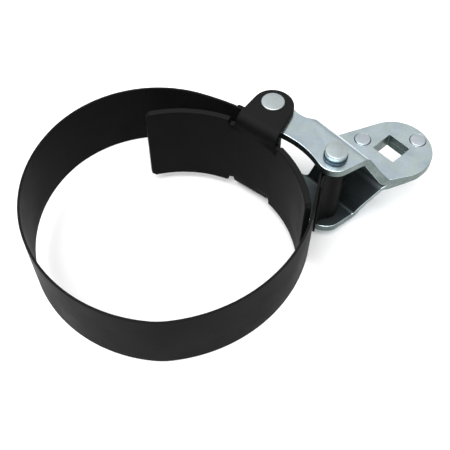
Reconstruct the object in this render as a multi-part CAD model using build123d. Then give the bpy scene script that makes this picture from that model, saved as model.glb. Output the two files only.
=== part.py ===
from build123d import *
from math import atan2, cos, degrees, hypot, radians, sin
import os

# Heavy-duty band oil filter wrench, in millimetres.
# The origin is the centre of the open band, midway between its two edges;
# +Z runs along the oil filter's axis, towards the face with the tall pin head.

# ---- driving dimensions -------------------------------------------------------------
BAND_WIDTH = 36.5
BAND_THICK = 1.2
WELD_GAP = 0.1            # between a folded-back tail and the strip it is welded to
WELD_RADIUS = 1.6
PIVOT_TAIL = (8.0, 5.0)   # bend that brings a tail to the strip, length along the strip
PULL_TAIL = (7.0, 4.0)

PIVOT = (49.6, 48.2)      # pin that joins the shoe, the lever and the band's fixed eye
PIN_RADIUS = 4.5
PIN_PLAY = 0.1            # radial, round a pin that something turns on
PIVOT_HEAD = (5.7, 1.1)   # radius, height
PULL_HEAD = (5.3, 3.1)
PULL_FOOT = (6.0, 1.4)
PULL_WASHER = (5.7, 1.6)

SHOE_CENTRE = (5.5, -12.5)
SHOE_INNER = 56.7
SHOE_THICK = 3.0
SHOE_HALF_HEIGHT = 23.0
SHOE_FROM = 1.5           # degrees, at the end that rests inside the band
SHOE_TO = 107.5           # degrees, at the free end
SHOE_CORNER = 2.0
EAR_HALF_WIDTH = 10.3
EAR_SET = (-1.1, -0.8)    # the ear's rounded end from the pin: along the ear, across it
EAR_BEND = 3.0            # inside radius
EAR_FLARE = 3.4           # the upper ear is this much wider where it leaves the wall, on one side
RELIEF = (3.0, 3.0)       # width and depth of the notches beside an ear

PLATE_THICK = 4.0
ARM_BOTTOM = 19.0         # inner face of the upper arm, above the mid-plane
EAR_PLAY = 0.2            # between an arm and the ear outside it
CREST = 11.0              # top bend line, from the line through both pins
RAMP_FOOT = 21.5          # bottom bend line, from the same line
PLATE_BEND = 2.0          # inside radius
ARM_EYE = 9.5             # the arm's outer radius round the pivot pin
ARM_END = 9.2             # and round the pull pin, upper plate
LOWER_ARM_END = 10.6      # lower plate

DRIVE = (47.5, 38.0)      # square drive, along and out from the line through both pins
DRIVE_SIDE = 12.9         # female half-inch square
HANDLE = (49.1, 39.6)     # centre of the upper plate's rounded end
HANDLE_RADIUS = 18.3
LOWER_HANDLE = (48.9, 40.9)
LOWER_HANDLE_RADIUS = 17.0
RIVET_REACH = 14.9        # rivets' distance from the drive
RIVET_ANGLES = (68.0, 205.0)
RIVET_RADIUS = 3.0
RIVET_HEAD = (3.9, 0.9)
RIVET_SEAT = (4.3, 0.25)  # radius and depth of the dish a head is pressed into

# The band's free shape, from the pivot pin round to the pull pin, all bending one way:
# a straight run off each eye, and between them arcs of (radius, degrees).
BAND_START_HEADING = 147.0
BAND_FIRST_RUN = 18.0
BAND_ARCS = ((20.0, 5.5), (143.0, 7.0), (58.8, 79.5), (67.8, 55.5), (69.0, 60.0),
             (37.0, 13.0), (74.4, 70.5))
BAND_LAST_RUN = 27.0

# ---- worked out from them -----------------------------------------------------------
EYE_BORE = PIN_RADIUS + PIN_PLAY
EYE_MID = EYE_BORE + BAND_THICK / 2
SHOE_OUTER = SHOE_INNER + SHOE_THICK
ARM_TOP = ARM_BOTTOM + PLATE_THICK
EAR_UNDER = ARM_TOP + EAR_PLAY
EAR_TOP = EAR_UNDER + SHOE_THICK
EAR_ANGLE = degrees(atan2(PIVOT[1] - SHOE_CENTRE[1], PIVOT[0] - SHOE_CENTRE[0]))
EAR_REACH = hypot(PIVOT[1] - SHOE_CENTRE[1], PIVOT[0] - SHOE_CENTRE[0])


def polar(centre, radius, angle):
    """The point at a radius and an angle, in degrees, from a centre."""
    turn = radians(angle)
    return (centre[0] + radius * cos(turn), centre[1] + radius * sin(turn))


class Walk:
    """A plan path of tangent runs and arcs, walked from a point on a heading."""

    def __init__(self, point, heading):
        self.point = point
        self.heading = heading
        self.pieces = []

    def run(self, length):
        start = self.point
        self.point = polar(start, length, self.heading)
        self.pieces.append(("run", start, self.point, self.heading))

    def arc(self, radius, sweep):
        """Turn left by sweep degrees, or right when it is negative."""
        side = 1 if sweep > 0 else -1
        centre = polar(self.point, radius, self.heading + 90 * side)
        first = self.heading - 90 * side
        self.pieces.append(("arc", centre, radius, first, sweep, side))
        self.point = polar(centre, radius, first + sweep)
        self.heading += sweep

    def edge(self, piece, offset):
        """One piece, moved to the left of the walk by an offset."""
        if piece[0] == "run":
            _, start, end, heading = piece
            return Line(polar(start, offset, heading + 90), polar(end, offset, heading + 90))
        _, centre, radius, first, sweep, side = piece
        size = radius - offset * side
        return ThreePointArc(*(polar(centre, size, first + sweep * part) for part in (0, 0.5, 1)))

    def strip(self, thickness):
        """The closed outline of a strip of sheet that follows the path."""
        left = [self.edge(piece, thickness / 2) for piece in self.pieces]
        right = [self.edge(piece, -thickness / 2) for piece in self.pieces]
        ends = [Line(left[0] @ 0, right[0] @ 0), Line(left[-1] @ 1, right[-1] @ 1)]
        return make_face(Wire(Curve() + left + right + ends))


def tail_numbers(bend_radius):
    """How a folded-back tail meets the eye: its step off the strip, its reach, its turn."""
    step = BAND_THICK + WELD_GAP
    drop = bend_radius + step - EYE_MID
    reach = ((bend_radius + EYE_MID) ** 2 - drop ** 2) ** 0.5
    return step, reach, degrees(atan2(reach, drop))


def band_walk():
    """The whole strip: tail, eye on the pivot pin, ring, eye on the pull pin, tail."""
    bend_radius, welded = PIVOT_TAIL
    step, reach, turn = tail_numbers(bend_radius)
    leave = polar(PIVOT, EYE_MID, BAND_START_HEADING + 90)
    beside = polar(leave, reach + welded, BAND_START_HEADING)
    walk = Walk(polar(beside, step, BAND_START_HEADING - 90), BAND_START_HEADING + 180)
    walk.run(welded)
    walk.arc(bend_radius, turn)
    walk.arc(EYE_MID, -180 - turn)
    walk.run(BAND_FIRST_RUN)
    for radius, sweep in BAND_ARCS:
        walk.arc(radius, sweep)
    walk.run(BAND_LAST_RUN)
    pull = polar(walk.point, EYE_MID, walk.heading - 90)
    bend_radius, welded = PULL_TAIL
    step, reach, turn = tail_numbers(bend_radius)
    walk.arc(EYE_MID, -180 - turn)
    walk.arc(bend_radius, turn)
    walk.run(welded)
    return walk, pull


BAND, PULL = band_walk()
PIN_LINE = degrees(atan2(PULL[1] - PIVOT[1], PULL[0] - PIVOT[0]))
PIN_SPAN = hypot(PULL[1] - PIVOT[1], PULL[0] - PIVOT[0])
LEVER = Location((PIVOT[0], PIVOT[1], 0), (0, 0, PIN_LINE))


def disc(centre, radius, low, high):
    """A plain upright cylinder."""
    return Pos(centre[0], centre[1], low) * extrude(Circle(radius), high - low)


def headed(centre, radius, height, low, edge):
    """A flat pin or rivet head with a rounded rim, standing up from low."""
    head = disc(centre, radius, low, low + height)
    return fillet(head.edges().group_by(Axis.Z)[-1], edge)


def both_sides(shape):
    """A shape above the mid-plane and its mirror image below it."""
    return shape + mirror(shape, Plane.XY)


def spot_welds(piece):
    """Two weld nuggets that tie a tail, a run of the walk, to the strip on its left."""
    _, start, end, heading = piece
    middle = polar(start, hypot(end[0] - start[0], end[1] - start[1]) / 2, heading)
    through = polar((0, 0), 1, heading + 90)
    for height in (-BAND_WIDTH / 4, BAND_WIDTH / 4):
        seat = Plane(origin=(*middle, height), x_dir=(0, 0, 1), z_dir=(*through, 0))
        yield seat * extrude(Circle(WELD_RADIUS), BAND_THICK + WELD_GAP)


def band():
    """Spring-steel strip with a folded and spot-welded eye at each end."""
    strip = extrude(BAND.strip(BAND_THICK), BAND_WIDTH / 2, both=True)
    for tail in (BAND.pieces[0], BAND.pieces[-1]):
        for nugget in spot_welds(tail):
            strip += nugget
    return strip


def shoe_section():
    """The wall of the shoe and its upper ear, cut through the pivot, out from the centre."""
    bend_low = EAR_UNDER - EAR_BEND
    bend_centre = (SHOE_OUTER + EAR_BEND, bend_low)
    root = SHOE_HALF_HEIGHT - RELIEF[1]
    tip = EAR_REACH + EAR_HALF_WIDTH
    lines = Curve() + [
        Line((SHOE_INNER, root), (SHOE_INNER, bend_low)),
        ThreePointArc((SHOE_INNER, bend_low), polar(bend_centre, EAR_BEND + SHOE_THICK, 135),
                      (bend_centre[0], EAR_TOP)),
        Line((bend_centre[0], EAR_TOP), (tip, EAR_TOP)),
        Line((tip, EAR_TOP), (tip, EAR_UNDER)),
        Line((tip, EAR_UNDER), (bend_centre[0], EAR_UNDER)),
        ThreePointArc((bend_centre[0], EAR_UNDER), polar(bend_centre, EAR_BEND, 135),
                      (SHOE_OUTER, bend_low)),
        Line((SHOE_OUTER, bend_low), (SHOE_OUTER, root)),
        Line((SHOE_OUTER, root), (SHOE_INNER, root)),
    ]
    return make_face(Wire(lines))


def ear(flare):
    """The upper ear, bent out of the wall over the lever arm, in the shoe's own frame."""
    short, aside = EAR_SET
    left = aside + EAR_HALF_WIDTH
    right = aside - EAR_HALF_WIDTH - flare
    end = (EAR_REACH + short, aside)
    root = (SHOE_OUTER, right)
    touch = tangent_point(root, end, EAR_HALF_WIDTH, 1) if flare else (end[0], right)
    sheet = Plane.XZ * extrude(shoe_section(), 2 * EAR_HALF_WIDTH, both=True)
    corners = [(0, left), (end[0], left), end, touch, root, (0, right)]
    plan = make_face(Polyline(*corners, close=True)) + Pos(*end) * Circle(EAR_HALF_WIDTH)
    bore = Pos(EAR_REACH, 0, 0) * extrude(Circle(PIN_RADIUS), EAR_TOP + 1)
    return (sheet & extrude(plan, EAR_TOP + 1)) - bore


def reliefs(flare):
    """The notches beside the upper ear, one on each side of it."""
    width, depth = RELIEF
    middle = (SHOE_INNER + SHOE_OUTER) / 2
    notch = Box(4 * SHOE_THICK, width, 2 * depth)
    left = EAR_SET[1] + EAR_HALF_WIDTH + width / 2
    right = EAR_SET[1] - EAR_HALF_WIDTH - flare - width / 2
    return Pos(middle, left, SHOE_HALF_HEIGHT) * notch + Pos(middle, right, SHOE_HALF_HEIGHT) * notch


def shoe_wall():
    """The curved pad that bears on the filter, with its corners cut off."""
    sweep = SHOE_TO - SHOE_FROM
    arcs = Curve() + [
        CenterArc((0, 0), SHOE_INNER, SHOE_FROM, sweep),
        CenterArc((0, 0), SHOE_OUTER, SHOE_FROM, sweep),
        Line(polar((0, 0), SHOE_INNER, SHOE_FROM), polar((0, 0), SHOE_OUTER, SHOE_FROM)),
        Line(polar((0, 0), SHOE_INNER, SHOE_TO), polar((0, 0), SHOE_OUTER, SHOE_TO)),
    ]
    wall = extrude(make_face(Wire(arcs)), SHOE_HALF_HEIGHT, both=True)
    across = wall.edges().filter_by(lambda e: abs(e.length - SHOE_THICK) < 0.01)
    return chamfer(across, SHOE_CORNER)


def shoe():
    """Pressed steel shoe: a curved wall with an ear above and below."""
    turn = Rotation(0, 0, EAR_ANGLE)
    cuts = turn * reliefs(EAR_FLARE) + mirror(turn * reliefs(0), Plane.XY)
    ears = turn * ear(EAR_FLARE) + mirror(turn * ear(0), Plane.XY)
    return Location((*SHOE_CENTRE, 0)) * ((shoe_wall() - cuts) + ears)


def tangent_point(point, centre, radius, side):
    """Where a line from a point touches a circle, on its left (1) or right (-1)."""
    reach = hypot(centre[0] - point[0], centre[1] - point[1])
    aim = degrees(atan2(point[1] - centre[1], point[0] - centre[0]))
    spread = degrees(atan2((reach ** 2 - radius ** 2) ** 0.5, radius))
    return polar(centre, radius, aim + side * spread)


def plate_outline(arm_end, handle, handle_radius):
    """A lever plate in plan: x along the line through both pins, y out towards the drive."""
    pull = (PIN_SPAN, 0)
    eye_out = polar((0, 0), ARM_EYE, 65)
    eye_in = polar((0, 0), ARM_EYE, -80)
    waist = (13.0, -9.0)
    toe = polar(pull, arm_end, -110)
    heel = polar(pull, arm_end, -18)
    crest_right = (53.2, CREST)
    foot_right = (60.0, RAMP_FOOT)
    right = tangent_point(foot_right, handle, handle_radius, 1)
    foot_left = (22.3, RAMP_FOOT)
    left = tangent_point(foot_left, handle, handle_radius, -1)
    crest_left = (20.5, CREST)
    edges = Curve() + [
        ThreePointArc(eye_out, (-ARM_EYE, 0), eye_in),
        Line(eye_in, waist),
        ThreePointArc(waist, (27.0, -6.9), toe),
        ThreePointArc(toe, polar(pull, arm_end, -64), heel),
        Line(heel, crest_right),
        Line(crest_right, foot_right),
        Line(foot_right, right),
        ThreePointArc(right, polar(handle, handle_radius, 48), left),
        Line(left, foot_left),
        Line(foot_left, crest_left),
        ThreePointArc(crest_left, (12.5, 6.8), eye_out),
    ]
    return make_face(Wire(edges))


def joggled_sheet():
    """Sheet that steps down from the arm's level to the handle's, cut long and wide."""
    slope = atan2(ARM_BOTTOM, RAMP_FOOT - CREST)
    back = PLATE_THICK * (1 - cos(slope)) / sin(slope)
    near = -2 * ARM_EYE
    far = HANDLE[1] + 2 * HANDLE_RADIUS
    top = [(near, ARM_TOP), (CREST, ARM_TOP), (RAMP_FOOT, PLATE_THICK), (far, PLATE_THICK)]
    under = [(far, 0), (RAMP_FOOT - back, 0), (CREST - back, ARM_BOTTOM), (near, ARM_BOTTOM)]
    section = make_face(Polyline(*top, *under, close=True))
    outside = PLATE_BEND + PLATE_THICK
    for corner, radius in ((top[1], outside), (under[2], PLATE_BEND),
                           (top[2], PLATE_BEND), (under[1], outside)):
        bend = section.vertices().sort_by_distance((*corner, 0))[0]
        section = fillet(bend, radius)
    across = Plane(origin=(near, 0, 0), x_dir=(0, 1, 0), z_dir=(1, 0, 0))
    return across * extrude(section, PIN_SPAN + 6 * ARM_EYE)


def rivet_places():
    """The rivets' places in the plates' own plan."""
    return [polar(DRIVE, RIVET_REACH, angle) for angle in RIVET_ANGLES]


def lever_plate(outline):
    """A lever plate above the middle, in its own plan, from the arm down to the handle."""
    tall = 2 * ARM_TOP
    plate = joggled_sheet() & extrude(outline, tall)
    plate -= extrude(Circle(EYE_BORE), tall)
    plate -= Pos(PIN_SPAN, 0) * extrude(Circle(PIN_RADIUS), tall)
    plate -= Pos(*DRIVE) * extrude(Rectangle(DRIVE_SIDE, DRIVE_SIDE), tall)
    seat_radius, seat_depth = RIVET_SEAT
    for place in rivet_places():
        plate -= disc(place, RIVET_RADIUS, 0, tall)
        plate -= disc(place, seat_radius, PLATE_THICK - seat_depth, tall)
    return plate


def rivets():
    """Two rivets through both plates, one each side of the drive."""
    radius, height = RIVET_HEAD
    low = PLATE_THICK - RIVET_SEAT[1]
    found = []
    for place in rivet_places():
        rivet = disc(place, RIVET_RADIUS, -low, low)
        rivet += both_sides(headed(place, radius, height, low, 0.4))
        found.append(LEVER * rivet)
    return Compound(children=found)


def pivot_pin():
    """Riveted pin through the ears, with a flat head on each."""
    radius, height = PIVOT_HEAD
    shank = disc(PIVOT, PIN_RADIUS, -EAR_TOP, EAR_TOP)
    return shank + both_sides(headed(PIVOT, radius, height, EAR_TOP, 0.5))


def pull_pin():
    """Pin that carries the band's pulling eye, with its tall head on a washer."""
    seat = ARM_TOP + PULL_WASHER[1]
    pin = disc(PULL, PIN_RADIUS, -ARM_TOP, seat)
    pin += headed(PULL, PULL_HEAD[0], PULL_HEAD[1], seat, 0.6)
    pin += mirror(headed(PULL, PULL_FOOT[0], PULL_FOOT[1], ARM_TOP, 0.6), Plane.XY)
    return pin


def pull_pin_washer():
    """Plain washer under the tall head."""
    radius, height = PULL_WASHER
    ring = disc(PULL, radius, ARM_TOP, ARM_TOP + height)
    return ring - disc(PULL, PIN_RADIUS, ARM_TOP, ARM_TOP + height)


UPPER_OUTLINE = plate_outline(ARM_END, HANDLE, HANDLE_RADIUS)
LOWER_OUTLINE = plate_outline(LOWER_ARM_END, LOWER_HANDLE, LOWER_HANDLE_RADIUS)

PARTS = {
    "band": band(),
    "shoe": shoe(),
    "upper_lever_plate": LEVER * lever_plate(UPPER_OUTLINE),
    "lower_lever_plate": mirror(LEVER * lever_plate(LOWER_OUTLINE), Plane.XY),
    "drive_rivets": rivets(),
    "pivot_pin": pivot_pin(),
    "pull_pin": pull_pin(),
    "pull_pin_washer": pull_pin_washer(),
}

os.makedirs("parts", exist_ok=True)
for name, shape in PARTS.items():
    export_step(shape, f"parts/{name}.step")
print("pull pin at %.2f, %.2f; pins %.2f apart on %.2f degrees" % (*PULL, PIN_SPAN, PIN_LINE))
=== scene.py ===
from math import atan2, cos, degrees, hypot, pi, radians, sin

import bmesh
import bpy
from mathutils import Matrix, Vector


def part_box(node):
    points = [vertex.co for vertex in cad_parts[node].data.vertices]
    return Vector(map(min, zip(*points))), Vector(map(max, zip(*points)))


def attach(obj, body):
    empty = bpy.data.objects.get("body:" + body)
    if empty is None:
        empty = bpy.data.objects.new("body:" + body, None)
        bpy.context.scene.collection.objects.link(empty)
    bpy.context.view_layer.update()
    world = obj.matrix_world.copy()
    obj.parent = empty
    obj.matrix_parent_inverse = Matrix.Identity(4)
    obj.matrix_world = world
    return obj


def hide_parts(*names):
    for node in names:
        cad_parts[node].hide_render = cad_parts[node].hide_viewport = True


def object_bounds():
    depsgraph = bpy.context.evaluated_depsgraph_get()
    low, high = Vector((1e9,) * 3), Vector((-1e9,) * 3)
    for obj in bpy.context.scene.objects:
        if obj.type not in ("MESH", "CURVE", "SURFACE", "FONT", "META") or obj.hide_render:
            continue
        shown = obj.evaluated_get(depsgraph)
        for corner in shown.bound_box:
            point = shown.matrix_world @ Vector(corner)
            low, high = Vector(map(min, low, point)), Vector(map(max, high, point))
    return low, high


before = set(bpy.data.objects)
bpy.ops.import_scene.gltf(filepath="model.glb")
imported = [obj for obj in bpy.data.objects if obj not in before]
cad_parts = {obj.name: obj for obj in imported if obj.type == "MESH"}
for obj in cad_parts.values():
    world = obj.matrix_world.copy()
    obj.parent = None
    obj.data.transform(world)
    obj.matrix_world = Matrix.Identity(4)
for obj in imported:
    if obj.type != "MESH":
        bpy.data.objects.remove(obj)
cad_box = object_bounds()

# A band oil filter wrench. Every size of the tool is in millimetres, as in the CAD part, and
# the stage is in metres. Each sheet-metal piece is drawn flat, given rounded edges and bent.
MM = 0.001

BODY_SHOE = "shoe_body"
BODY_LEVER = "lever_body"
BODY_BAND = "band_body"


def node_centre(node):
    """The middle of a CAD node's box, in millimetres."""
    low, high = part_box(node)
    return (low + high) / 2 / MM


def node_top(node):
    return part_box(node)[1].z / MM


PIVOT = tuple(node_centre("pivot_pin"))[:2]
PULL = tuple(node_centre("pull_pin"))[:2]
PIN_SPAN = hypot(PULL[0] - PIVOT[0], PULL[1] - PIVOT[1])
PIN_LINE = degrees(atan2(PULL[1] - PIVOT[1], PULL[0] - PIVOT[0]))
PIN_RADIUS = 4.5
PIN_PLAY = 0.1            # radial, in the hole that turns on the pivot pin

BAND_HALF_WIDTH = node_top("band")
BAND_THICK = 1.2
BAND_EDGE = 0.35          # rounding of the strip's edges
BAND_CORNER = 1.2         # and of its four corners
EYE_MID = 5.2             # radius of an eye's mid-line
WELD_GAP = 0.1
WELD_RADIUS = 1.6
PIVOT_TAIL = (8.0, 5.0)   # bend that brings a tail to the strip, length along the strip
PULL_TAIL = (7.0, 4.0)
BAND_START_HEADING = 147.0
BAND_FIRST_RUN = 18.0
BAND_ARCS = ((20.0, 5.5), (143.0, 7.0), (58.8, 79.5), (67.8, 55.5), (69.0, 60.0),
             (37.0, 13.0), (74.4, 70.5))
BAND_LAST_RUN = 27.0

SHOE_CENTRE = (5.5, -12.5)
SHOE_INNER = 56.7
SHOE_THICK = 3.0
SHOE_HALF_HEIGHT = 23.0
SHOE_FROM = 1.5           # degrees
SHOE_TO = 107.5
SHOE_CORNER = 2.0
SHOE_EDGE = 0.55
EAR_HALF_WIDTH = 10.3
EAR_SET = (-1.1, -0.8)    # the ear's rounded end from the pin: along the ear, across it
EAR_BEND = 3.0
EAR_FLARE = 3.4           # extra width of the upper ear where it leaves the wall, on one side
EAR_UNDER = 23.2
RELIEF = (3.0, 3.0)

PLATE_THICK = 4.0
PLATE_EDGE = 0.4          # rolled-over rounding of the stamped plates
HOLE_EDGE = 0.06          # the same round any hole
ARM_BOTTOM = 19.0
CREST = 11.0
RAMP_FOOT = 21.5
PLATE_BEND = 2.0
ARM_EYE = 9.5
ARM_END = 9.2
LOWER_ARM_END = 10.6
DRIVE = (47.5, 38.0)
DRIVE_SIDE = 12.9
DRIVE_CORNER = 0.5
HANDLE = (49.1, 39.6)
HANDLE_RADIUS = 18.3
LOWER_HANDLE = (48.9, 40.9)
LOWER_HANDLE_RADIUS = 17.0
RIVET_REACH = 14.9
RIVET_ANGLES = (68.0, 205.0)
RIVET_SHANK = 3.0
RIVET_HEAD = (3.9, 0.65)  # radius, height above the plate
RIVET_SEAT = 4.3          # radius of the dish round a head
RIVET_GROOVE = 0.35       # depth of the dish as drawn

HEAD_EDGE = 0.5
PIVOT_HEAD = (5.7, 1.1)
PULL_HEAD = (5.3, 3.1)
PULL_FOOT = (6.0, 1.4)
PULL_WASHER = (5.7, 1.6)


# ---------------------------------------------------------------- plan geometry

def polar(centre, reach, angle):
    """The point at a distance and an angle in degrees from a centre."""
    return (centre[0] + reach * cos(radians(angle)), centre[1] + reach * sin(radians(angle)))


def arc(centre, radius, first, last, step=7.5):
    """Points along an arc, anticlockwise when last is larger, about step degrees apart."""
    count = max(2, round(abs(last - first) / step))
    return [polar(centre, radius, first + (last - first) * i / count) for i in range(count + 1)]


def arc_through(start, middle, end, count=10):
    """Points along the arc from start to end by way of middle."""
    (ax, ay), (bx, by), (cx, cy) = start, middle, end
    d = 2 * (ax * (by - cy) + bx * (cy - ay) + cx * (ay - by))
    a2, b2, c2 = ax * ax + ay * ay, bx * bx + by * by, cx * cx + cy * cy
    centre = ((a2 * (by - cy) + b2 * (cy - ay) + c2 * (ay - by)) / d,
              (a2 * (cx - bx) + b2 * (ax - cx) + c2 * (bx - ax)) / d)
    radius = hypot(ax - centre[0], ay - centre[1])
    first = degrees(atan2(ay - centre[1], ax - centre[0]))
    last = degrees(atan2(cy - centre[1], cx - centre[0]))
    side = (bx - ax) * (cy - ay) - (by - ay) * (cx - ax)
    while side > 0 and last < first:
        last += 360
    while side < 0 and last > first:
        last -= 360
    return [polar(centre, radius, first + (last - first) * i / count) for i in range(count + 1)]


def tangent_point(point, centre, radius, side):
    """Where a line from a point touches a circle, on its left (1) or right (-1)."""
    reach = hypot(centre[0] - point[0], centre[1] - point[1])
    aim = degrees(atan2(point[1] - centre[1], point[0] - centre[0]))
    spread = degrees(atan2((reach ** 2 - radius ** 2) ** 0.5, radius))
    return polar(centre, radius, aim + side * spread)


def without_repeats(points):
    """A closed outline without points that lie on the next one."""
    following = points[1:] + points[:1]
    return [p for p, q in zip(points, following) if hypot(p[0] - q[0], p[1] - q[1]) > 1e-3]


def rounded(points, radius, sharp_turn=14.0):
    """A closed outline with every corner sharper than sharp_turn degrees made round."""
    points = without_repeats(points)
    out = []
    count = len(points)
    for i, here in enumerate(points):
        before, after = points[i - 1], points[(i + 1) % count]
        ins = Vector((here[0] - before[0], here[1] - before[1]))
        outs = Vector((after[0] - here[0], after[1] - here[1]))
        turn = degrees(ins.angle(outs))
        if turn < sharp_turn:
            out.append(here)
            continue
        reach = radius * sin(radians(turn / 2)) / cos(radians(turn / 2))
        reach = min(reach, 0.45 * ins.length, 0.45 * outs.length)
        start = Vector(here) - ins.normalized() * reach
        end = Vector(here) + outs.normalized() * reach
        bends = max(3, round(turn / 9))
        for k in range(bends + 1):
            t = k / bends
            p = start * (1 - t) ** 2 + Vector(here) * 2 * t * (1 - t) + end * t ** 2
            out.append((p.x, p.y))
    return out


def moved_in(loop, distance):
    """A closed loop moved to its own left, with mitred corners."""
    out = []
    for i, here in enumerate(loop):
        before, after = loop[i - 1], loop[(i + 1) % len(loop)]
        ins = Vector((here[0] - before[0], here[1] - before[1])).normalized()
        outs = Vector((after[0] - here[0], after[1] - here[1])).normalized()
        left = Vector((-ins.y - outs.y, ins.x + outs.x)) / (1 + max(ins.dot(outs), -0.5))
        out.append((here[0] + left.x * distance, here[1] + left.y * distance))
    return out


# ---------------------------------------------------------------- mesh building

OUTER, CUT_EDGE, INNER = 0, 1, 2     # a sheet-metal piece's materials


def edge_profile(thick, edge, segments):
    """A sheet's rounded edge from its upper face to its lower one, as (inset, z)."""
    half = thick / 2
    steps = [radians(90 * k / segments) for k in range(segments + 1)]
    upper = [(edge * (1 - sin(t)), half - edge * (1 - cos(t))) for t in steps]
    return upper + [(inset, -z) for inset, z in reversed(upper)]


def slab(outline, holes, thick, edge, segments=4):
    """A flat sheet with rounded edges: outline anticlockwise, holes clockwise, z from the middle."""
    bm = bmesh.new()
    half = thick / 2
    caps = [[], []]
    for loop, rounding in [(outline, edge)] + [(hole, HOLE_EDGE) for hole in holes]:
        profile = edge_profile(thick, rounding, segments)
        rings = [[bm.verts.new((*p, z)) for p in moved_in(loop, inset)] for inset, z in profile]
        size = len(loop)
        heights = [z for _, z in profile]
        for upper, lower, z0, z1 in zip(rings, rings[1:], heights, heights[1:]):
            on_cut_edge = max(abs(z0), abs(z1)) < half - rounding * 0.1
            for i in range(size):
                j = (i + 1) % size
                face = bm.faces.new((upper[j], upper[i], lower[i], lower[j]))
                face.material_index = CUT_EDGE if on_cut_edge else OUTER
        for cap, ring in zip(caps, (rings[0], rings[-1])):
            cap += [bm.edges.get((ring[i], ring[(i + 1) % size])) for i in range(size)]
    for cap, way, material in zip(caps, (1, -1), (OUTER, INNER)):
        filled = bmesh.ops.triangle_fill(bm, use_beauty=True, use_dissolve=False, edges=cap,
                                         normal=(0, 0, way))
        for part in filled["geom"]:
            if isinstance(part, bmesh.types.BMFace):
                part.material_index = material
    return bm


def cut(bm, axis, places):
    """Cut the whole mesh across an axis at each place, so that it can bend there."""
    normal = Vector((axis == 0, axis == 1, axis == 2))
    for place in places:
        everything = bm.verts[:] + bm.edges[:] + bm.faces[:]
        bmesh.ops.bisect_plane(bm, geom=everything, dist=1e-5, plane_co=normal * place, plane_no=normal)


def bend(bm, shape):
    """Move every vertex from the flat sheet to where shape puts it."""
    for v in bm.verts:
        v.co = shape(*v.co)


def lathe(profile, place, sides=72):
    """A round piece about a vertical axis: profile is (radius, z) from top to bottom."""
    bm = bmesh.new()
    rings = []
    for radius, z in profile:
        if radius < 1e-6:
            rings.append([bm.verts.new((*place, z))])
        else:
            circle = [polar(place, radius, 360 * i / sides) for i in range(sides)]
            rings.append([bm.verts.new((*point, z)) for point in circle])
    for upper, lower in zip(rings, rings[1:]):
        for i in range(sides):
            j = (i + 1) % sides
            corners = [upper[i % len(upper)], upper[j % len(upper)]]
            corners += [lower[j % len(lower)], lower[i % len(lower)]]
            bm.faces.new(list(dict.fromkeys(corners)))
    return bm


def add(bm, other):
    """Put another mesh's faces into bm."""
    copy = {v: bm.verts.new(v.co) for v in other.verts}
    for f in other.faces:
        bm.faces.new([copy[v] for v in f.verts])
    other.free()


def piece(bm, name, body, materials, nodes):
    """Turn a mesh in millimetres into a finished piece that stands for CAD nodes."""
    bmesh.ops.remove_doubles(bm, verts=bm.verts, dist=1e-4)
    bmesh.ops.scale(bm, vec=(MM, MM, MM), verts=bm.verts)
    bmesh.ops.recalc_face_normals(bm, faces=bm.faces)
    mesh = bpy.data.meshes.new(name)
    bm.to_mesh(mesh)
    bm.free()
    mesh.shade_smooth()
    for material in materials:
        mesh.materials.append(material)
    obj = bpy.data.objects.new(name, mesh)
    bpy.context.scene.collection.objects.link(obj)
    normals = obj.modifiers.new("even_shading", "WEIGHTED_NORMAL")
    normals.weight = 80
    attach(obj, body)
    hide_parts(*nodes)


# ---------------------------------------------------------------- band

def band_moves():
    """The strip's run and arcs as (radius, sweep) or (None, length), its first point and heading."""
    def tail(bend_radius):
        step = BAND_THICK + WELD_GAP
        drop = bend_radius + step - EYE_MID
        reach = ((bend_radius + EYE_MID) ** 2 - drop ** 2) ** 0.5
        return step, reach, degrees(atan2(reach, drop))

    radius, welded = PIVOT_TAIL
    step, reach, turn = tail(radius)
    leave = polar(PIVOT, EYE_MID, BAND_START_HEADING + 90)
    beside = polar(leave, reach + welded, BAND_START_HEADING)
    start = polar(beside, step, BAND_START_HEADING - 90)
    moves = [(None, welded), (radius, turn), (EYE_MID, -180 - turn), (None, BAND_FIRST_RUN)]
    moves += BAND_ARCS
    radius, welded = PULL_TAIL
    turn = tail(radius)[2]
    moves += [(None, BAND_LAST_RUN), (EYE_MID, -180 - turn), (radius, turn), (None, welded)]
    return moves, start, BAND_START_HEADING + 180


def band_stations():
    """Points along the strip's mid-line as (distance, point, heading), close enough to look round."""
    moves, point, heading = band_moves()
    stations = [(0.0, point, heading)]
    along = 0.0
    for radius, amount in moves:
        if radius is None:
            along += amount
            point = polar(point, amount, heading)
            stations.append((along, point, heading))
            continue
        side = 1 if amount > 0 else -1
        centre = polar(point, radius, heading + 90 * side)
        count = max(2, round(abs(amount) / (9 if radius < 10 else 2.5)))
        for i in range(1, count + 1):
            turned = amount * i / count
            place = polar(centre, radius, heading - 90 * side + turned)
            stations.append((along + radius * radians(abs(turned)), place, heading + turned))
        along, point, heading = stations[-1]
    return stations


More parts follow.
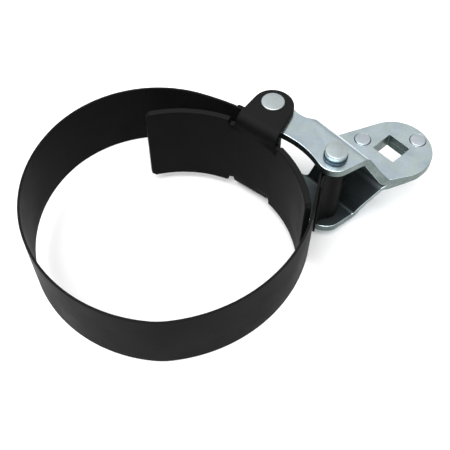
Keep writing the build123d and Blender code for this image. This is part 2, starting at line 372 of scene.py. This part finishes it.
def band_mesh():
    stations = band_stations()
    length = stations[-1][0]
    outline = rounded([(0, -BAND_HALF_WIDTH), (length, -BAND_HALF_WIDTH),
                       (length, BAND_HALF_WIDTH), (0, BAND_HALF_WIDTH)], BAND_CORNER)
    bm = slab(outline, [], BAND_THICK, BAND_EDGE, segments=3)
    cut(bm, 0, [s[0] for s in stations[1:-1]])

    def shape(s, h, t):
        after = next((i for i, st in enumerate(stations) if st[0] >= s - 1e-4), len(stations) - 1)
        after = max(after, 1)
        (s0, p0, a0), (s1, p1, a1) = stations[after - 1], stations[after]
        f = (s - s0) / (s1 - s0)
        heading = a0 + (a1 - a0) * f
        x = p0[0] + (p1[0] - p0[0]) * f
        y = p0[1] + (p1[1] - p0[1]) * f
        return (*polar((x, y), t, heading + 90), h)

    bend(bm, shape)
    for first, last in ((0, 1), (-2, -1)):
        (_, p0, heading), (_, p1, _) = stations[first], stations[last]
        middle = ((p0[0] + p1[0]) / 2, (p0[1] + p1[1]) / 2)
        for height in (-BAND_HALF_WIDTH / 2, BAND_HALF_WIDTH / 2):
            add(bm, weld_mark(middle, heading, height))
    return bm


def weld_mark(place, heading, height):
    """The slightly raised ring that a spot weld leaves on a tail's outer face."""
    rise, sink = 0.12, 0.1
    profile = [(0, -sink), (WELD_RADIUS * 0.55, -sink * 0.6), (WELD_RADIUS * 0.8, rise)]
    profile += [(WELD_RADIUS, rise * 0.8), (WELD_RADIUS * 1.2, -0.02), (WELD_RADIUS * 1.2, -0.3)]
    profile += [(0, -0.3)]
    bm = lathe(profile, (0, 0), sides=28)
    face = polar(place, BAND_THICK / 2, heading - 90)
    turn = Matrix.Rotation(radians(heading), 4, "Z") @ Matrix.Rotation(radians(90), 4, "X")
    bmesh.ops.transform(bm, matrix=Matrix.Translation((*face, height)) @ turn, verts=bm.verts)
    return bm


# ---------------------------------------------------------------- shoe

SHOE_MID = SHOE_INNER + SHOE_THICK / 2
SHOE_OUTER = SHOE_INNER + SHOE_THICK
EAR_AIM = (PIVOT[0] - SHOE_CENTRE[0], PIVOT[1] - SHOE_CENTRE[1])
EAR_ANGLE = degrees(atan2(EAR_AIM[1], EAR_AIM[0]))
EAR_REACH = hypot(*EAR_AIM)
BEND_START = EAR_UNDER - EAR_BEND
BEND_MID = EAR_BEND + SHOE_THICK / 2
BEND_LENGTH = BEND_MID * pi / 2
BEND_CENTRE = SHOE_OUTER + EAR_BEND


def shoe_outline():
    """The shoe before bending: x round the wall from the ears' middle, y up from mid-height."""
    first = radians(SHOE_FROM - EAR_ANGLE) * SHOE_MID
    last = radians(SHOE_TO - EAR_ANGLE) * SHOE_MID
    short, aside = EAR_SET
    top = SHOE_HALF_HEIGHT
    root = top - RELIEF[1]
    clear = EAR_HALF_WIDTH + RELIEF[0]
    ear_end = BEND_START + BEND_LENGTH + EAR_REACH + short - BEND_CENTRE

    def half(flare):
        """The upper half's edge, from the free end round the ear to the other end."""
        foot = (aside - EAR_HALF_WIDTH - flare, root)
        touch = tangent_point(foot, (aside, ear_end), EAR_HALF_WIDTH, -1)
        stop = degrees(atan2(touch[1] - ear_end, touch[0] - aside)) % 360
        points = [(last, top - SHOE_CORNER), (last - SHOE_CORNER, top), (aside + clear, top),
                  (aside + clear, root), (aside + EAR_HALF_WIDTH, root)]
        points += arc((aside, ear_end), EAR_HALF_WIDTH, 0, stop)
        return points + [foot, (aside - clear - flare, root), (aside - clear - flare, top),
                         (first + SHOE_CORNER, top), (first, top - SHOE_CORNER)]

    upper = half(EAR_FLARE)
    lower = [(x, -y) for x, y in reversed(half(0.001))]
    pin = BEND_START + BEND_LENGTH + EAR_REACH - BEND_CENTRE
    bores = [arc((0, side * pin), PIN_RADIUS, 0, -360)[:-1] for side in (1, -1)]
    return rounded(upper + lower, 0.7, sharp_turn=30), bores


def shoe_shape(s, h, t):
    """From the flat sheet to the curved wall with its ears bent out."""
    side = 1 if h >= 0 else -1
    up = abs(h)
    angle = radians(EAR_ANGLE) + s / SHOE_MID
    reach = SHOE_MID + t
    wall = Vector((reach * cos(angle), reach * sin(angle), h))
    if up <= BEND_START:
        out, rise = reach, up
    elif up <= BEND_START + BEND_LENGTH:
        turned = (up - BEND_START) / BEND_MID
        out = BEND_CENTRE - (BEND_MID - t) * cos(turned)
        rise = BEND_START + (BEND_MID - t) * sin(turned)
    else:
        out = BEND_CENTRE + up - BEND_START - BEND_LENGTH
        rise = BEND_START + BEND_MID - t
    aim = Vector((cos(radians(EAR_ANGLE)), sin(radians(EAR_ANGLE)), 0))
    across = Vector((-aim.y, aim.x, 0))
    ear = aim * out + across * s + Vector((0, 0, side * rise))
    blend_start = SHOE_HALF_HEIGHT - 2 * RELIEF[1]
    by_height = min(max((up - blend_start) / (BEND_START - blend_start), 0), 1)
    beside = abs(s - EAR_SET[1]) - EAR_HALF_WIDTH
    if s < EAR_SET[1] and side > 0:
        beside -= EAR_FLARE
    by_side = 1 - min(max(beside / RELIEF[0], 0), 1)
    part = by_height * by_height * (3 - 2 * by_height) * by_side
    place = wall.lerp(ear, part)
    return place + Vector((*SHOE_CENTRE, 0))


def shoe_mesh():
    outline, bores = shoe_outline()
    bm = slab(outline, bores, SHOE_THICK, SHOE_EDGE)
    ends = [p[0] for p in outline]
    first, last = min(ends), max(ends)
    count = round((last - first) / 2.2)
    cut(bm, 0, [first + (last - first) * i / count for i in range(1, count)])
    blend_start = SHOE_HALF_HEIGHT - 2 * RELIEF[1]
    heights = [blend_start + (BEND_START - blend_start) * i / 4 for i in range(5)]
    heights += [BEND_START + BEND_LENGTH * i / 8 for i in range(1, 9)]
    cut(bm, 1, heights + [-h for h in heights])
    bend(bm, shoe_shape)
    return bm


# ---------------------------------------------------------------- lever plates

def plate_outline(arm_end, handle, handle_radius):
    """A lever plate in plan: x along the line through both pins, y out towards the drive."""
    pull = (PIN_SPAN, 0)
    eye_out = polar((0, 0), ARM_EYE, 65)
    waist = (13.0, -9.0)
    toe = polar(pull, arm_end, -110)
    crest_right = (53.2, CREST)
    foot_right = (60.0, RAMP_FOOT)
    right = tangent_point(foot_right, handle, handle_radius, 1)
    foot_left = (22.3, RAMP_FOOT)
    left = tangent_point(foot_left, handle, handle_radius, -1)
    crest_left = (20.5, CREST)
    first = degrees(atan2(right[1] - handle[1], right[0] - handle[0]))
    last = degrees(atan2(left[1] - handle[1], left[0] - handle[0]))
    points = arc((0, 0), ARM_EYE, 65, 280, 5)
    points += arc_through(waist, (27.0, -6.9), toe, 14)
    points += arc(pull, arm_end, -110, -18, 5)
    points += [crest_right, foot_right]
    points += arc(handle, handle_radius, first, last + 360 * (last < first), 5)
    points += [foot_left, crest_left]
    points += arc_through(crest_left, (12.5, 6.8), eye_out, 10)
    return rounded(points, 14.0, sharp_turn=8.0)


def joggle():
    """The plate's mid-line as (distance along the sheet, plan y, height, slope)."""
    slope = atan2(ARM_BOTTOM, RAMP_FOOT - CREST)
    back = PLATE_THICK * (1 - cos(slope)) / sin(slope)
    radius = PLATE_BEND + PLATE_THICK / 2
    reach = radius * sin(slope) / (1 + cos(slope))
    upper_corner = (CREST - back / 2, ARM_BOTTOM + PLATE_THICK / 2)
    lower_corner = (RAMP_FOOT - back / 2, PLATE_THICK / 2)
    y, z = upper_corner[0] - reach, upper_corner[1]
    line = [(y, y, z, 0.0)]
    steps = 8
    for i in range(1, steps + 1):
        a = slope * i / steps
        line.append((y + radius * a, y + radius * sin(a), z - radius * (1 - cos(a)), a))
    ramp = hypot(lower_corner[0] - upper_corner[0], lower_corner[1] - upper_corner[1]) - 2 * reach
    s, y, z, _ = line[-1]
    line.append((s + ramp, y + ramp * cos(slope), z - ramp * sin(slope), slope))
    s, y, z, _ = line[-1]
    end_y, end_z = lower_corner[0] + reach, lower_corner[1]
    for i in range(1, steps + 1):
        a = slope * (1 - i / steps)
        line.append((s + radius * (slope - a), end_y - radius * sin(a),
                     end_z + radius * (1 - cos(a)), a))
    return line


def unrolled(y, line):
    """How far along the sheet the plan's y is."""
    if y <= line[0][1]:
        return line[0][0] + y - line[0][1]
    for (s0, y0, _, _), (s1, y1, _, _) in zip(line, line[1:]):
        if y <= y1:
            return s0 + (s1 - s0) * (y - y0) / (y1 - y0)
    return line[-1][0] + y - line[-1][1]


def round_hole(centre, radius):
    return arc(centre, radius, 0, -360)[:-1]


def plate_holes():
    """A plate's holes in plan: both pins', the square drive and the rivets' seats."""
    half = DRIVE_SIDE / 2
    square = [(-half, -half), (-half, half), (half, half), (half, -half)]
    square = rounded([(DRIVE[0] + x, DRIVE[1] + y) for x, y in square], DRIVE_CORNER)
    holes = [round_hole((0, 0), PIN_RADIUS + PIN_PLAY), round_hole((PIN_SPAN, 0), PIN_RADIUS), square]
    return holes + [round_hole(polar(DRIVE, RIVET_REACH, angle), RIVET_SEAT) for angle in RIVET_ANGLES]


def divided(outline, longest):
    """A closed outline with its sides split into parts of about the longest length or less."""
    points = []
    for p, q in zip(outline, outline[1:] + outline[:1]):
        parts = max(1, round(hypot(q[0] - p[0], q[1] - p[1]) / longest))
        for i in range(parts):
            points.append((p[0] + (q[0] - p[0]) * i / parts, p[1] + (q[1] - p[1]) * i / parts))
    return points


def plate_mesh(side, outline):
    """The upper (side 1) or lower (side -1) lever plate."""
    line = joggle()

    def flat(loop):
        return [(x, unrolled(y, line)) for x, y in loop]

    holes = [flat(hole) for hole in plate_holes()]
    bm = slab(flat(divided(outline, 1.5)), holes, PLATE_THICK, PLATE_EDGE)
    cut(bm, 1, [s for s, _, _, _ in line])

    def shape(x, s, t):
        if s <= line[0][0]:
            y, z, a = line[0][1] + s - line[0][0], line[0][2], 0.0
        elif s >= line[-1][0]:
            y, z, a = line[-1][1] + s - line[-1][0], line[-1][2], 0.0
        else:
            i = next(k for k in range(1, len(line)) if line[k][0] >= s - 1e-4)
            (s0, y0, z0, a0), (s1, y1, z1, a1) = line[i - 1], line[i]
            f = (s - s0) / (s1 - s0)
            y, z, a = y0 + (y1 - y0) * f, z0 + (z1 - z0) * f, a0 + (a1 - a0) * f
        return (*lever_point(x, y + t * sin(a)), side * (z + t * cos(a)))

    bend(bm, shape)
    return bm


def lever_point(x, y):
    """From the lever's own plan to the frame's."""
    return polar(polar(PIVOT, x, PIN_LINE), y, PIN_LINE + 90)


# ---------------------------------------------------------------- pins, washer, rivets

def head_profile(radius, low, height, edge, crown=0.08):
    """The upper half of a head: (radius, z) from the middle of its top down to its seat."""
    top = low + height
    rim = [(radius - edge + edge * sin(t), top - crown - edge + edge * cos(t))
           for t in (radians(a) for a in range(0, 91, 15))]
    return [(0, top), (radius * 0.55, top - crown * 0.25)] + rim + [(radius, low)]


def flipped(profile):
    return [(r, -z) for r, z in reversed(profile)]


def pin_mesh(place, upper, lower, shank):
    """A pin with a head at each end: upper and lower are (radius, seat height, height)."""
    top = head_profile(*upper, HEAD_EDGE)
    foot = flipped(head_profile(*lower, HEAD_EDGE))
    return lathe(top + [(shank, upper[1]), (shank, -lower[1])] + foot, place)


def washer_mesh(place, inner, outer, low, high):
    edge = 0.35
    corners = [(outer - edge + edge * sin(t), high - edge + edge * cos(t))
               for t in (radians(a) for a in range(0, 91, 18))]
    profile = [(inner, low), (inner, high)] + corners + [(outer, low), (inner, low)]
    return lathe(profile, place)


def rivets_mesh():
    bm = bmesh.new()
    radius, height = RIVET_HEAD
    groove = PLATE_THICK - RIVET_GROOVE
    under = groove - 0.5
    for angle in RIVET_ANGLES:
        place = lever_point(*polar(DRIVE, RIVET_REACH, angle))
        top = head_profile(radius, groove, PLATE_THICK + height - groove, 0.3, crown=0.05)
        top += [(RIVET_SEAT - 0.01, groove), (RIVET_SEAT - 0.01, under)]
        shank = [(RIVET_SHANK, under), (RIVET_SHANK, -under)]
        add(bm, lathe(top + shank + flipped(top), place))
    return bm


# ---------------------------------------------------------------- materials

class Shader:
    """A node material made a step at a time. Texture sizes are in metres."""

    def __init__(self, name, **sockets):
        self.material = bpy.data.materials.new(name)
        self.material.use_nodes = True
        self.tree = self.material.node_tree
        self.surface = self.tree.nodes["Principled BSDF"]
        for key, value in sockets.items():
            self.surface.inputs[key.replace("_", " ")].default_value = value
        coordinates = self.tree.nodes.new("ShaderNodeTexCoord")
        self.place = coordinates.outputs["Object"]
        self.normal = coordinates.outputs["Normal"]

    def node(self, kind, **links):
        made = self.tree.nodes.new(kind)
        for key, value in links.items():
            socket = made.inputs[key]
            if isinstance(value, bpy.types.NodeSocket):
                self.tree.links.new(value, socket)
            else:
                socket.default_value = value
        return made

    def noise(self, size, detail=3.0, stretch=(1, 1, 1), twist=0.0):
        """Noise whose blobs are about size metres across."""
        mapping = self.node("ShaderNodeMapping", Vector=self.place, Scale=stretch)
        made = self.node("ShaderNodeTexNoise", Vector=mapping.outputs[0], Scale=1 / size, Detail=detail)
        made.inputs["Distortion"].default_value = twist
        return made.outputs["Fac"]

    def ramp(self, source, stops):
        """A colour or grey value along a source from 0 to 1: stops are (place, value)."""
        made = self.node("ShaderNodeValToRGB", Fac=source)
        points = made.color_ramp.elements
        while len(points) < len(stops):
            points.new(0.5)
        for point, (where, value) in zip(points, stops):
            point.position = where
            point.color = (*value, 1) if isinstance(value, tuple) else (value, value, value, 1)
        return made.outputs["Color"]

    def mix(self, factor, first, second):
        """Two colours, or values, blended by a factor."""
        made = self.tree.nodes.new("ShaderNodeMix")
        made.data_type = "RGBA"
        for key, value in (("Factor", factor), ("A", first), ("B", second)):
            socket = next(s for s in made.inputs if s.name == key and s.enabled)
            if isinstance(value, bpy.types.NodeSocket):
                self.tree.links.new(value, socket)
            else:
                socket.default_value = (*value, 1) if isinstance(value, tuple) else value
        return next(s for s in made.outputs if s.enabled)

    def colour(self, source):
        self.tree.links.new(source, self.surface.inputs["Base Color"])

    def roughness(self, source):
        self.tree.links.new(source, self.surface.inputs["Roughness"])

    def bumps(self, *layers):
        """Raise and lower the surface: each layer is (height source, depth in metres)."""
        normal = None
        for source, depth in layers:
            made = self.node("ShaderNodeBump", Height=source, Distance=depth)
            made.inputs["Strength"].default_value = 1.0
            if normal is not None:
                self.tree.links.new(normal, made.inputs["Normal"])
            normal = made.outputs["Normal"]
        self.tree.links.new(normal, self.surface.inputs["Normal"])


def black_paint():
    """Satin black paint with a fine orange-peel skin and specks of dust, and upward faces painted
    lighter as a painted highlight.
    """
    s = Shader("black_paint", Specular_IOR_Level=0.022)
    patches = s.noise(0.020, 4)
    dust = s.noise(0.0009, 2)
    base = s.ramp(patches, [(0.3, (0.0036, 0.0036, 0.0038)), (0.7, (0.0060, 0.0060, 0.0062))])
    base = s.mix(s.ramp(dust, [(0.62, 0.0), (0.80, 0.30)]), base, (0.016, 0.016, 0.017))
    # Painted highlight: faces that point up are painted lighter, as if lit from overhead.
    upward_painted_highlight = s.node("ShaderNodeSeparateXYZ", Vector=s.normal).outputs["Z"]
    s.colour(s.mix(s.ramp(upward_painted_highlight, [(0.55, 0.0), (0.95, 0.75)]), base, (0.013, 0.013, 0.013)))
    s.roughness(s.ramp(patches, [(0.25, 0.40), (0.75, 0.55)]))
    s.bumps((s.noise(0.0011, 3), 0.000035), (s.noise(0.012, 2), 0.00012))
    return s.material


def zinc(name, low, high, tint, rough, grain=1.0):
    """Bright zinc plating: metal with faint coloured clouds, rolling grain and small pits."""
    s = Shader(name, Metallic=1.0)
    clouds = s.noise(0.014, 5, twist=0.8)
    hue = s.noise(0.009, 3, twist=0.4)
    specks = s.noise(0.0007, 2)
    base = s.ramp(clouds, [(0.28, low), (0.72, high)])
    base = s.mix(s.ramp(hue, [(0.42, 0.0), (0.70, 0.75)]), base, tint)
    base = s.mix(s.ramp(specks, [(0.60, 0.0), (0.78, 0.5)]), base, tuple(0.72 * c for c in low))
    s.colour(base)
    scratches = s.noise(0.0012, 3, stretch=(0.12, 1, 1))
    s.roughness(s.mix(0.5, s.ramp(clouds, [(0.2, rough[0]), (0.8, rough[1])]),
                      s.ramp(scratches, [(0.3, rough[0]), (0.7, rough[1])])))
    s.bumps((s.noise(0.0008, 3), 0.000010 * grain), (scratches, 0.000012 * grain),
            (s.noise(0.006, 3), 0.00006 * grain))
    return s.material


def zinc_plate():
    low, high, tint = (0.46, 0.56, 0.61), (0.64, 0.74, 0.80), (0.58, 0.68, 0.64)
    return zinc("zinc_plate", low, high, tint, (0.18, 0.30))


def zinc_cut_edge_painted_shade():
    """Sheared edges and hole walls of the plates: darker, partly for the duller sheared steel and
    partly as painted shade that stands in for dark reflections, with fine marks across the thickness.
    """
    s = Shader("zinc_cut_edge_painted_shade", Metallic=1.0)
    marks = s.noise(0.0006, 3, stretch=(1, 1, 0.15))
    clouds = s.noise(0.006, 3)
    base = s.ramp(clouds, [(0.3, (0.11, 0.15, 0.14)), (0.7, (0.19, 0.23, 0.22))])
    s.colour(s.mix(s.ramp(marks, [(0.35, 0.0), (0.7, 0.55)]), base, (0.10, 0.13, 0.13)))
    s.roughness(s.ramp(marks, [(0.3, 0.32), (0.7, 0.50)]))
    s.bumps((marks, 0.00003), (s.noise(0.004, 2), 0.00004))
    return s.material


def zinc_inside_painted_shade():
    """The plates' faces towards each other, painted much darker as painted shade between the plates."""
    low, high, tint = (0.075, 0.09, 0.10), (0.12, 0.14, 0.15), (0.09, 0.13, 0.12)
    return zinc("zinc_inside_painted_shade", low, high, tint, (0.38, 0.52))


def zinc_pin():
    low, high, tint = (0.40, 0.46, 0.48), (0.54, 0.61, 0.63), (0.50, 0.52, 0.48)
    return zinc("zinc_pin", low, high, tint, (0.34, 0.50), 1.6)


def zinc_rivet():
    low, high, tint = (0.46, 0.54, 0.59), (0.60, 0.67, 0.73), (0.60, 0.60, 0.64)
    return zinc("zinc_rivet", low, high, tint, (0.28, 0.42), 1.2)


def blue_washer():
    low, high, tint = (0.007, 0.020, 0.032), (0.025, 0.06, 0.09), (0.04, 0.07, 0.08)
    return zinc("blue_washer", low, high, tint, (0.24, 0.38), 1.2)


# ---------------------------------------------------------------- the pieces

BLACK = black_paint()
PLATED = zinc_plate()
PINS = zinc_pin()
# Cut edges and hole walls are painted darker, partly as painted shade.
CUT = zinc_cut_edge_painted_shade()
# Painted shade: the plates' inner faces are painted dark.
INSIDE_PAINTED_SHADE = zinc_inside_painted_shade()
SHEET_BLACK = [BLACK] * 3             # the same on outer faces, edges and inner faces
SHEET_PLATED = [PLATED, CUT, INSIDE_PAINTED_SHADE]

piece(band_mesh(), "band_strip", BODY_BAND, SHEET_BLACK, ["band"])
piece(shoe_mesh(), "shoe_pressing", BODY_SHOE, SHEET_BLACK, ["shoe"])
upper_outline = plate_outline(ARM_END, HANDLE, HANDLE_RADIUS)
lower_outline = plate_outline(LOWER_ARM_END, LOWER_HANDLE, LOWER_HANDLE_RADIUS)
piece(plate_mesh(1, upper_outline), "lever_plate_upper",
      BODY_LEVER, SHEET_PLATED, ["upper_lever_plate"])
piece(plate_mesh(-1, lower_outline), "lever_plate_lower",
      BODY_LEVER, SHEET_PLATED, ["lower_lever_plate"])
piece(rivets_mesh(), "handle_rivets", BODY_LEVER, [zinc_rivet()], ["drive_rivets"])

EAR_TOP = EAR_UNDER + SHOE_THICK
ARM_TOP = ARM_BOTTOM + PLATE_THICK
WASHER_TOP = ARM_TOP + PULL_WASHER[1]
pivot_head = (PIVOT_HEAD[0], EAR_TOP, PIVOT_HEAD[1])
piece(pin_mesh(PIVOT, pivot_head, pivot_head, PIN_RADIUS), "pivot_pin_headed",
      BODY_SHOE, [PINS], ["pivot_pin"])
pull_head = (PULL_HEAD[0], WASHER_TOP, PULL_HEAD[1])
pull_foot = (PULL_FOOT[0], ARM_TOP, PULL_FOOT[1])
piece(pin_mesh(PULL, pull_head, pull_foot, PIN_RADIUS), "pull_pin_headed",
      BODY_LEVER, [PINS], ["pull_pin"])
piece(washer_mesh(PULL, PIN_RADIUS, PULL_WASHER[0], ARM_TOP, WASHER_TOP), "pull_washer",
      BODY_LEVER, [blue_washer()], ["pull_pin_washer"])


# ---------------------------------------------------------------- floor, light, camera

def floor():
    """A plain pale floor under the tool."""
    low = cad_box[0].z
    size = 3.0
    mesh = bpy.data.meshes.new("floor")
    corners = [(-size, -size, low), (size, -size, low), (size, size, low), (-size, size, low)]
    mesh.from_pydata(corners, [], [(0, 1, 2, 3)])
    s = Shader("pale_floor", Specular_IOR_Level=0.1)
    s.colour(s.ramp(s.noise(0.3, 2), [(0.3, (0.94, 0.94, 0.94)), (0.7, (0.96, 0.96, 0.96))]))
    s.roughness(s.ramp(s.noise(0.05, 2), [(0.3, 0.85), (0.7, 0.95)]))
    mesh.materials.append(s.material)
    obj = bpy.data.objects.new("floor", mesh)
    bpy.context.scene.collection.objects.link(obj)


def soft_light(name, place, aim, size, power):
    """A square softbox."""
    light = bpy.data.lights.new(name, "AREA")
    light.shape = "SQUARE"
    light.size = size
    light.energy = power
    obj = bpy.data.objects.new(name, light)
    obj.location = place
    obj.rotation_euler = (Vector(aim) - Vector(place)).to_track_quat("-Z", "Y").to_euler()
    bpy.context.scene.collection.objects.link(obj)


def surroundings(zenith, horizon):
    """A soft grey studio that is brighter overhead than at the sides."""
    world = bpy.data.worlds.new("studio")
    world.use_nodes = True
    tree = world.node_tree
    way = tree.nodes.new("ShaderNodeTexCoord").outputs["Generated"]
    split = tree.nodes.new("ShaderNodeSeparateXYZ")
    tree.links.new(way, split.inputs[0])
    ramp = tree.nodes.new("ShaderNodeValToRGB")
    tree.links.new(split.outputs["Z"], ramp.inputs["Fac"])
    low, high = ramp.color_ramp.elements
    low.position, low.color = 0.0, (horizon, horizon, horizon, 1)
    high.position, high.color = 0.8, (zenith, zenith, zenith, 1)
    tree.links.new(ramp.outputs["Color"], tree.nodes["Background"].inputs["Color"])
    bpy.context.scene.world = world


CAMERA_ELEVATION = 55.39   # degrees above the horizon, looking along +Y
CAMERA_ROLL = 0.47
CAMERA_DISTANCE = 0.3722
CAMERA_AIM = (0.02695, 0.00693, -0.01825)
CAMERA_LENS = 59.58        # on a 36 mm wide sensor


def camera():
    data = bpy.data.cameras.new("camera")
    data.sensor_width = 36.0
    data.lens = CAMERA_LENS
    data.clip_start = 0.01
    obj = bpy.data.objects.new("camera", data)
    tilt = Matrix.Rotation(radians(90 - CAMERA_ELEVATION), 4, "X")
    roll = Matrix.Rotation(radians(CAMERA_ROLL), 4, "Z")
    back = tilt @ Vector((0, 0, CAMERA_DISTANCE))
    obj.matrix_world = Matrix.Translation(Vector(CAMERA_AIM) + back) @ tilt @ roll
    bpy.context.scene.collection.objects.link(obj)
    bpy.context.scene.camera = obj


floor()
surroundings(0.80, 0.42)
soft_light("overhead", (-0.15, -0.25, 1.0), (0.03, 0, 0), 1.2, 18.0)
camera()
bpy.context.scene.view_settings.view_transform = "Standard"
